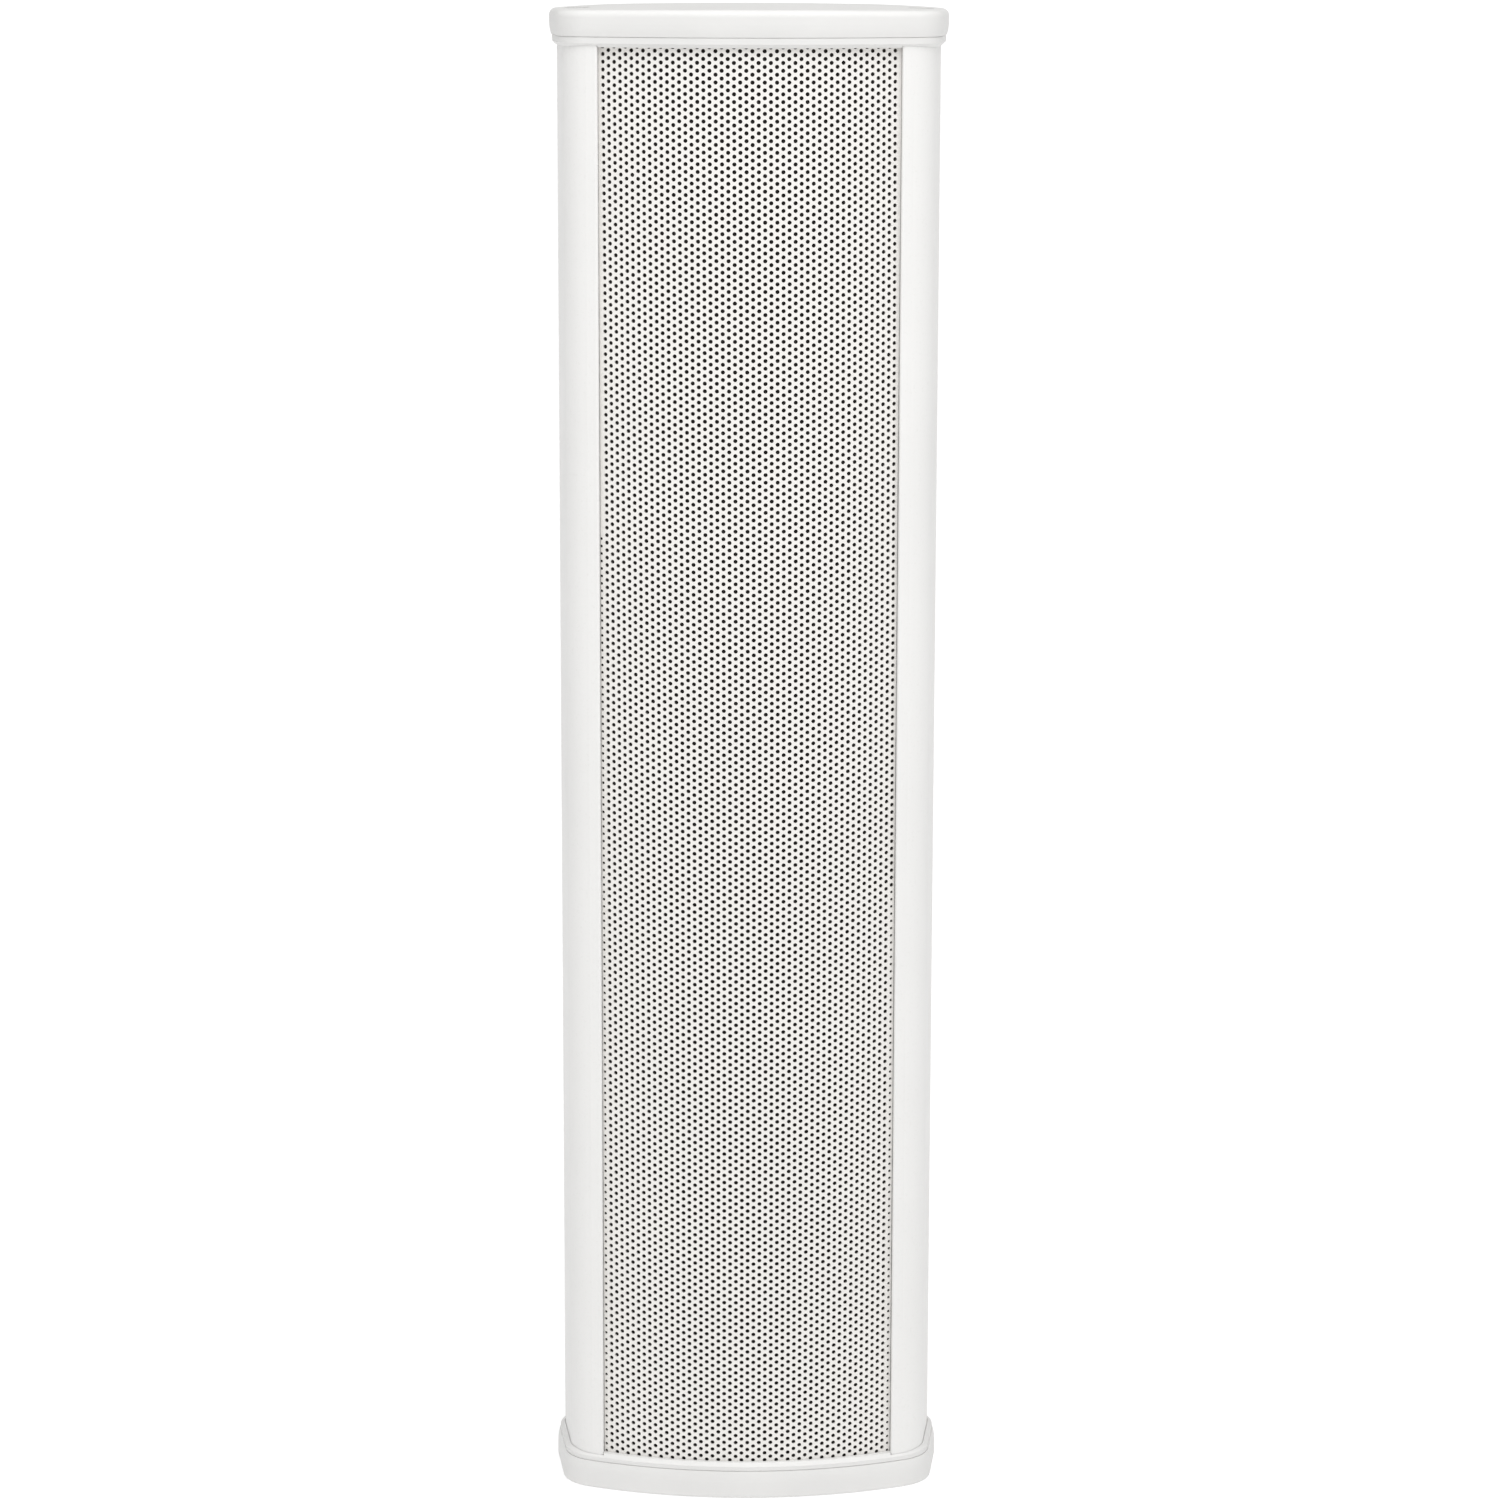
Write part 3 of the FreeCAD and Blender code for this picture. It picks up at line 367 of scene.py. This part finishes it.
def band_mesh(name, rows):
    """One band of the sheet: each hole's cell in front and behind, and the hole's wall."""
    corners, full_rim = cell_offsets(HOLE_RADIUS)
    small_rim = cell_offsets(HOLE_RADIUS * EDGE_HOLE_SHARE)[1]
    points, index, faces = [], {}, []

    def point(along, height, inward):
        key = (round(along * KEY_SCALE), round(height * KEY_SCALE), inward)
        if key not in index:
            index[key] = len(points)
            points.append(on_sheet(along, height, inward))
        return index[key]

    for row in rows:
        height = TOP_ROW_HEIGHT - ROW_STEP * row
        level = height - GRILLE_MIDDLE
        drift = COLUMN_SHIFT + LEAN * level - BOW * (level / GRILLE_REACH) ** 2
        for column in range(FIRST_COLUMN, LAST_COLUMN + 1):
            if (row + column) % 2 == 0:
                continue
            along = COLUMN_STEP * column + drift
            reach = GRILLE_RADIUS * math.sin(abs(along) / GRILLE_RADIUS)
            open_cell = reach < LAST_HOLE_REACH
            rim = full_rim if reach < FULL_HOLE_REACH else small_rim
            front, back = [], []
            for inward, ring in ((0.0, front), (SHEET, back)):
                ring.append([point(along + a, height + b, inward) for a, b in corners])
                if open_cell:
                    ring.append([point(along + a, height + b, inward) for a, b in rim])
            if not open_cell:
                faces += [front[0], back[0][::-1]]
                continue
            per_side = HOLE_SIDES // len(corners)
            for side in range(len(corners)):
                after = (side + 1) % len(corners)
                arc = [(side * per_side + k) % HOLE_SIDES for k in range(per_side + 1)]
                for (outer, inner), flip in ((front, False), (back, True)):
                    loop = [outer[side], outer[after]] + [inner[k] for k in reversed(arc)]
                    faces.append(loop[::-1] if flip else loop)
            for k in range(HOLE_SIDES):
                after = (k + 1) % HOLE_SIDES
                faces.append([front[1][k], front[1][after], back[1][after], back[1][k]])
    mesh = mesh_of(name, points, faces)
    mesh.validate()
    mesh.materials.append(PAINTS["grille_paint"])
    return linked(name, mesh)


for number, start in enumerate(range(0, ROW_COUNT, ROWS_IN_A_BAND), start=1):
    rows = range(start, min(start + ROWS_IN_A_BAND, ROW_COUNT))
    sheet_band = band_mesh(f"grille_sheet_{number}", rows)
    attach(sheet_band, "cabinet")
    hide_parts("grille")

# ---------------------------------------------------------------- dark beads along the grille's sides: painted shade for the dark line at the lips
SHADE_BEAD_RADIUS = 0.0003
SHADE_BEAD_STEPS = 40
SHADE_BEAD_END_GAP = 0.001
SHADE_BEAD_WANDER = 0.00004
# painted shade: the bead is thinner towards the top, so the painted dark line is fainter there
SHADE_BEAD_THIN, SHADE_BEAD_TAPER = 0.35, 0.12        # share of the radius at the top, and how far down it grows
LIP_REACH = 0.0495                        # half the width of the cabinet's opening
LIP_CLEARANCE = 0.00002


def side_shade_bead(name, side):
    """Thin dark bead in the corner between the cabinet's lip and the sheet: painted shade that draws
    the dark line of the gap there.
    """
    lip = math.asin((LIP_REACH - LIP_CLEARANCE) / GRILLE_RADIUS) * GRILLE_RADIUS
    length = grille_high.z - grille_low.z - 2.0 * SHADE_BEAD_END_GAP
    curve = bpy.data.curves.new(name, "CURVE")
    curve.dimensions = "3D"
    curve.bevel_depth, curve.bevel_resolution, curve.use_fill_caps = SHADE_BEAD_RADIUS, 3, True
    line = curve.splines.new("POLY")
    line.points.add(SHADE_BEAD_STEPS)
    for step, point in enumerate(line.points):
        height = grille_low.z + SHADE_BEAD_END_GAP + length * step / SHADE_BEAD_STEPS
        inset = SHADE_BEAD_WANDER * noise.noise(Vector((side * 3.0, height * 90.0, 0.0)))
        point.co = (*on_sheet(side * (lip - inset), height, 0.0), 1.0)
        grown = min(1.0, (grille_high.z - height) / SHADE_BEAD_TAPER)
        point.radius = SHADE_BEAD_THIN + (1.0 - SHADE_BEAD_THIN) * grown
    # painted shade: the grey rubber colour draws the dark corner line along the lips
    curve.materials.append(PAINTS["gasket_rubber"])
    return linked(name, curve)


for name, side in (("grille_shade_bead_left", -1), ("grille_shade_bead_right", 1)):
    shade_bead = side_shade_bead(name, side)
    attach(shade_bead, "cabinet")

# ---------------------------------------------------------------- cloth behind the grille
CLOTH_THICKNESS = 0.0006
CLOTH_COLUMNS, CLOTH_ROWS = 60, 220
CLOTH_SHARE = 0.998                       # of the CAD node's width
CLOTH_SLACK = 0.00018
cloth_low, cloth_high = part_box("acoustic_cloth")


def stretched_cloth(name):
    """Thin cloth stretched behind the sheet, drawn in a little between its glued edges."""
    front_radius = GRILLE_CENTRE - cloth_low.y
    half_angle = math.asin(cloth_high.x / front_radius) * CLOTH_SHARE
    points, faces = [], []
    for layer in range(2):
        for row in range(CLOTH_ROWS + 1):
            height = cloth_low.z + (cloth_high.z - cloth_low.z) * row / CLOTH_ROWS
            for column in range(CLOTH_COLUMNS + 1):
                across = 2.0 * column / CLOTH_COLUMNS - 1.0
                ripple = 1.0 + noise.noise(Vector((across * 4.0, height * 60.0, 0.0)))
                slack = CLOTH_SLACK * (1.0 - across ** 4) * ripple
                radius = front_radius - slack - layer * CLOTH_THICKNESS
                angle = across * half_angle
                points.append((radius * math.sin(angle),
                               GRILLE_CENTRE - radius * math.cos(angle), height))
    wide, layer_size = CLOTH_COLUMNS + 1, (CLOTH_COLUMNS + 1) * (CLOTH_ROWS + 1)
    for row in range(CLOTH_ROWS):
        for column in range(CLOTH_COLUMNS):
            a = row * wide + column
            front = [a, a + 1, a + 1 + wide, a + wide]
            faces.append(front)
            faces.append([corner + layer_size for corner in reversed(front)])
    rim = list(range(wide))
    rim += [row * wide + wide - 1 for row in range(1, CLOTH_ROWS + 1)]
    rim += [CLOTH_ROWS * wide + column for column in range(wide - 2, -1, -1)]
    rim += [row * wide for row in range(CLOTH_ROWS - 1, 0, -1)]
    for one, two in zip(rim, rim[1:] + rim[:1]):
        faces.append([two, one, one + layer_size, two + layer_size])
    mesh = mesh_of(name, points, faces)
    mesh.polygons.foreach_set("use_smooth", [True] * len(mesh.polygons))
    mesh.materials.append(PAINTS["acoustic_cloth"])
    return linked(name, mesh), 2.0 * half_angle * front_radius


cloth, cloth_width = stretched_cloth("stretched_cloth")
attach(cloth, "cabinet")
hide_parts("acoustic_cloth")

# ---------------------------------------------------------------- wadding inside the cabinet
PAD_CUTS = 16
PAD_SQUARENESS = 7.0
TUFT = 0.0014                             # depth of the tufts


def pad_boxes():
    """Box of each wadding pad: the node's two solids, one above the other."""
    corners = [vertex.co for vertex in nodes["damping_wadding"].data.vertices]
    middle = (min(c.z for c in corners) + max(c.z for c in corners)) / 2
    boxes = []
    for own in ([c for c in corners if c.z < middle], [c for c in corners if c.z > middle]):
        low = Vector([min(c[axis] for c in own) for axis in range(3)])
        high = Vector([max(c[axis] for c in own) for axis in range(3)])
        boxes.append((low, high))
    return boxes


def wadding_pad(name, low, high):
    """Soft slab with rounded, tufted faces; its back lies flat on the rear wall."""
    middle, half = (low + high) / 2, (high - low) / 2
    builder = bmesh.new()
    bmesh.ops.create_cube(builder, size=2.0)
    bmesh.ops.subdivide_edges(builder, edges=builder.edges[:], cuts=PAD_CUTS, use_grid_fill=True)
    for vertex in builder.verts:
        powers = sum(abs(value) ** PAD_SQUARENESS for value in vertex.co)
        spread = powers ** (1.0 / PAD_SQUARENESS)
        form = vertex.co / spread
        offset = middle * 40.0
        tuft = noise.noise(form * 3.1 + offset) + 0.5 * noise.noise(form * 9.0 + offset)
        sink = TUFT * (1.0 + tuft) * (1.0 - max(0.0, form.y) ** 8)
        place = Vector([form[axis] * half[axis] for axis in range(3)])
        vertex.co = middle + place - place.normalized() * sink
    mesh = mesh_from(name, builder)
    mesh.polygons.foreach_set("use_smooth", [True] * len(mesh.polygons))
    mesh.materials.append(PAINTS["wadding"])
    pad = linked(name, mesh)
    pad.modifiers.new("soften", "SUBSURF").levels = 1
    return pad


for number, (low, high) in enumerate(pad_boxes(), start=1):
    pad = wadding_pad(f"wadding_pad_{number}", low, high)
    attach(pad, "cabinet")
    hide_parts("damping_wadding")

# ---------------------------------------------------------------- rings of the drivers: surround rolls and spider discs
RING_STEPS = 96


def turned_ring(name, profile, centre, paint):
    """Closed profile of (radius, depth) points turned about the driver's axis."""
    builder = bmesh.new()
    rings = []
    for step in range(RING_STEPS):
        turn = 2.0 * math.pi * step / RING_STEPS
        across, up = math.cos(turn), math.sin(turn)
        rings.append([builder.verts.new((centre.x + radius * across, depth, centre.z + radius * up))
                      for radius, depth in profile])
    for near, far in zip(rings, rings[1:] + rings[:1]):
        for index in range(len(profile)):
            after = (index + 1) % len(profile)
            face = builder.faces.new((near[index], near[after], far[after], far[index]))
            face.smooth = True
    bmesh.ops.recalc_face_normals(builder, faces=builder.faces)
    mesh = mesh_from(name, builder)
    mesh.materials.append(PAINTS[paint])
    piece = linked(name, mesh)
    return piece


def flexing(piece):
    """Bakes the piece's placement into its mesh; nothing here ties the rim to the cabinet or the
    inner edge to the cone.
    """
    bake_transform(piece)


ROLL_SKIN, ROLL_RADIUS, ROLL_MARGIN = 0.0005, 0.0020, 0.0050
ROLL_TURNS = [math.pi * step / 18 for step in range(19)]
INNER_FLANGE = 0.0020                     # width glued to the cone
SPIDER_INNER, SPIDER_WAVED, SPIDER_SKIN = 0.01335, 0.0240, 0.0005
SPIDER_WAVE, SPIDER_WAVES = 0.0007, 3
SPIDER_STEPS = 16 * SPIDER_WAVES
for number in (1, 2, 3, 4):
    low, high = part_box(f"surround_{number}")
    centre = (low + high) / 2.0
    reach, seat = (high.x - low.x) / 2.0, high.y - ROLL_SKIN
    middle, hollow = reach - ROLL_MARGIN, ROLL_RADIUS - ROLL_SKIN
    inside = middle - ROLL_RADIUS - INNER_FLANGE
    profile = [(reach, seat), (middle + ROLL_RADIUS + 0.0002, seat)]
    profile += [(middle + ROLL_RADIUS * math.cos(t), seat - ROLL_RADIUS * math.sin(t))
                for t in ROLL_TURNS]
    profile += [(inside, seat - 0.00005), (inside, seat + ROLL_SKIN),
                (middle - hollow - 0.00005, seat + ROLL_SKIN)]
    profile += [(middle + hollow * math.cos(t), seat - hollow * math.sin(t))
                for t in reversed(ROLL_TURNS)]
    profile += [(middle + hollow + 0.00005, seat + ROLL_SKIN), (reach, seat + ROLL_SKIN)]
    roll = turned_ring(f"surround_roll_{number}", profile, centre, "surround_rubber")
    flexing(roll)
    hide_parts(f"surround_{number}")

    low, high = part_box(f"spider_{number}")
    centre = (low + high) / 2.0
    reach, level = (high.x - low.x) / 2.0, low.y + SPIDER_WAVE
    front = [(reach, level)]
    for step in range(SPIDER_STEPS + 1):
        share = step / SPIDER_STEPS
        front.append((SPIDER_WAVED + (SPIDER_INNER - SPIDER_WAVED) * share,
                      level + SPIDER_WAVE * math.sin(2.0 * math.pi * SPIDER_WAVES * share)))
    profile = front + [(radius, depth + SPIDER_SKIN) for radius, depth in reversed(front)]
    disc = turned_ring(f"spider_disc_{number}", profile, centre, "spider_cloth")
    flexing(disc)
    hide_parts(f"spider_{number}")

# ---------------------------------------------------------------- studio
FLOOR_SIDES = 64
FLOOR_RINGS = ((0.0, 0.0), (2.0, 0.0), (20.0, 0.0), (21.4, 0.6), (22.0, 2.0), (22.0, 4.0))
# painted shade: a pool of weaker glow on the floor in front of the object darkens the floor there and
# the light it throws onto the object's lower part
POOL_CENTRE, POOL_RADIUS = (0.0, -0.33, 0.0), 0.36   # where the floor glows a little less
GLOW, POOL_GLOW = 0.585, 0.445

builder = bmesh.new()
rings = []
for distance, height in FLOOR_RINGS:
    turns = [2.0 * math.pi * step / FLOOR_SIDES for step in range(FLOOR_SIDES if distance else 1)]
    rings.append([builder.verts.new((distance * math.cos(t), distance * math.sin(t), height))
                  for t in turns])
for side in range(FLOOR_SIDES):
    after = (side + 1) % FLOOR_SIDES
    builder.faces.new((rings[0][0], rings[1][side], rings[1][after]))
    for inner, outer in zip(rings[1:], rings[2:]):
        builder.faces.new((inner[side], outer[side], outer[after], inner[after]))
floor_mesh = mesh_from("floor", builder)
floor = linked("floor", floor_mesh)
paper = Paint("floor_paper")
floor_mesh.materials.append(paper.finish(
    paper.ramp(paper.noise(0.6, 3.0), [(0.3, (0.49, 0.49, 0.49)), (0.7, (0.51, 0.51, 0.51))]),
    paper.number(paper.noise(0.05, 3.0), 0.92, 1.0), paper.noise(0.002, 3.0), 0.05, 0.0001))
socket(paper.shader, "Specular IOR Level", 0.0)
socket(paper.shader, "Emission Color", (1.0, 1.0, 1.0, 1.0))
# painted shade: the floor's glow falls from GLOW to POOL_GLOW towards the pool's centre
pool = paper.add("ShaderNodeTexGradient", gradient_type="SPHERICAL")
dimmed = paper.add("ShaderNodeMapping", vector_type="TEXTURE")
socket(dimmed, "Location", POOL_CENTRE)
socket(dimmed, "Scale", (POOL_RADIUS,) * 3)
paper.link(paper.place, dimmed.inputs["Vector"])
paper.link(dimmed.outputs["Vector"], pool.inputs["Vector"])
paper.link(paper.number(pool.outputs["Fac"], GLOW, POOL_GLOW),
           paper.shader.inputs["Emission Strength"])

world = bpy.data.worlds.new("studio")
world.use_nodes = True
sky = world.node_tree.nodes["Background"]
socket(sky, "Color", (1.0, 1.0, 1.0, 1.0))
socket(sky, "Strength", 0.345)
bpy.context.scene.world = world

sun_light = bpy.data.lights.new("sun", "SUN")
sun_light.energy = 1.75
sun_light.angle = math.radians(60.0)
sun = linked("sun", sun_light)
sun.rotation_euler = (math.radians(12.0), 0.0, 0.0)

box_light = bpy.data.lights.new("softbox", "AREA")
box_light.shape, box_light.size, box_light.size_y = "RECTANGLE", 1.4, 0.8
box_light.energy = 9.0
softbox = linked("softbox", box_light)
softbox.location = (0.12, -0.95, 1.32)
lit = Vector((0.0, 0.0, 0.35))
softbox.rotation_euler = (lit - softbox.location).to_track_quat("-Z", "Y").to_euler()

camera_data = bpy.data.cameras.new("camera")
camera_data.sensor_width = 36.0
camera_data.lens = 104.954
camera_data.clip_start, camera_data.clip_end = 0.05, 200.0
camera = linked("camera", camera_data)
camera.location = (-0.0139, -1.4765, 0.538)
pan, tilt, turn = (math.radians(angle) for angle in (-0.573, 79.023, 0.119))
aim = Matrix.Rotation(pan, 4, "Z") @ Matrix.Rotation(tilt, 4, "X") @ Matrix.Rotation(turn, 4, "Z")
camera.rotation_euler = aim.to_euler()
bpy.context.scene.camera = camera
bpy.context.scene.view_settings.view_transform = "Standard"
